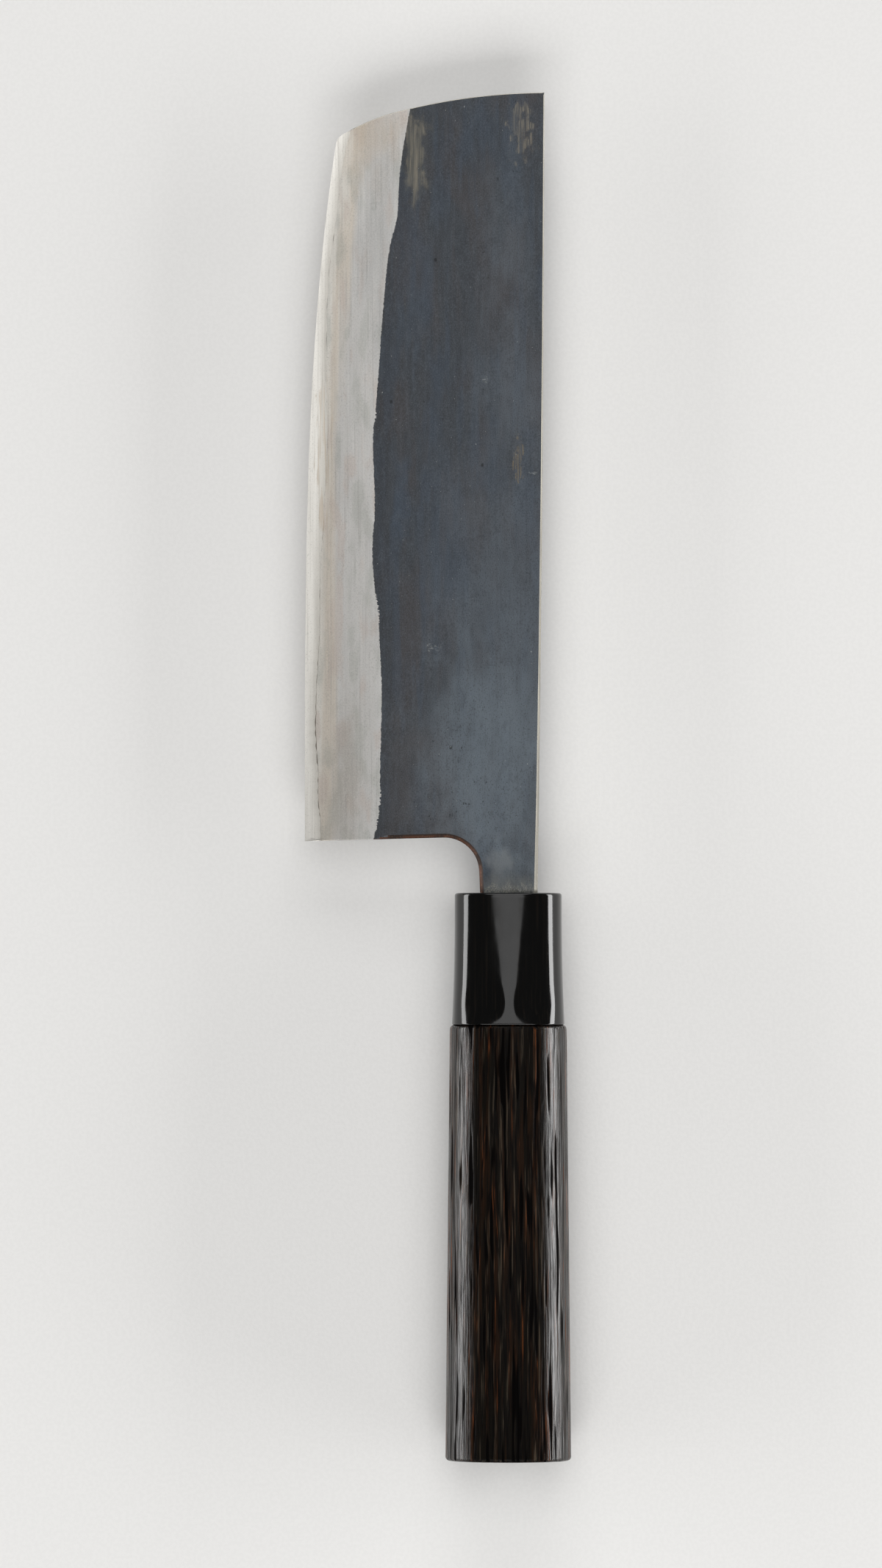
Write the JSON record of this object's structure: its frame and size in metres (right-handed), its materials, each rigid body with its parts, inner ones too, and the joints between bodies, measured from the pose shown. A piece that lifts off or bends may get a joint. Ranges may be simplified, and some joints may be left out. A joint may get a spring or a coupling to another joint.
{
  "type": "nakiri knife",
  "caption": "Straight-edged Japanese vegetable knife: laminated blade with forge-scale faces and ground bevels, glossy ferrule and burnt-wood oval handle.",
  "frame": {"origin": "middle of the knife's box in plan, at the handle's lowest line as the knife lies on its side", "axes": "+X from the butt to the blade's tip, +Y from the spine to the cutting edge, +Z out of the blade's left face"},
  "size_m": [0.3012, 0.0586, 0.021],
  "materials": {
    "core_steel": "ground and polished cutting edge",
    "forged_iron": "black forge scale with a satin ground bevel",
    "ferrule": "polished black",
    "handle_wood": "burnt and brushed open grain, lightly oiled",
    "dowel_wood": "plain turned",
    "adhesive": "set resin"
  },
  "bodies": {
    "root": {"core_steel": "core_steel", "cladding_left": "forged_iron", "cladding_right": "forged_iron", "ferrule": "ferrule", "handle": "handle_wood", "dowel": "dowel_wood", "tang_adhesive": "adhesive"}
  },
  "joints": []
}
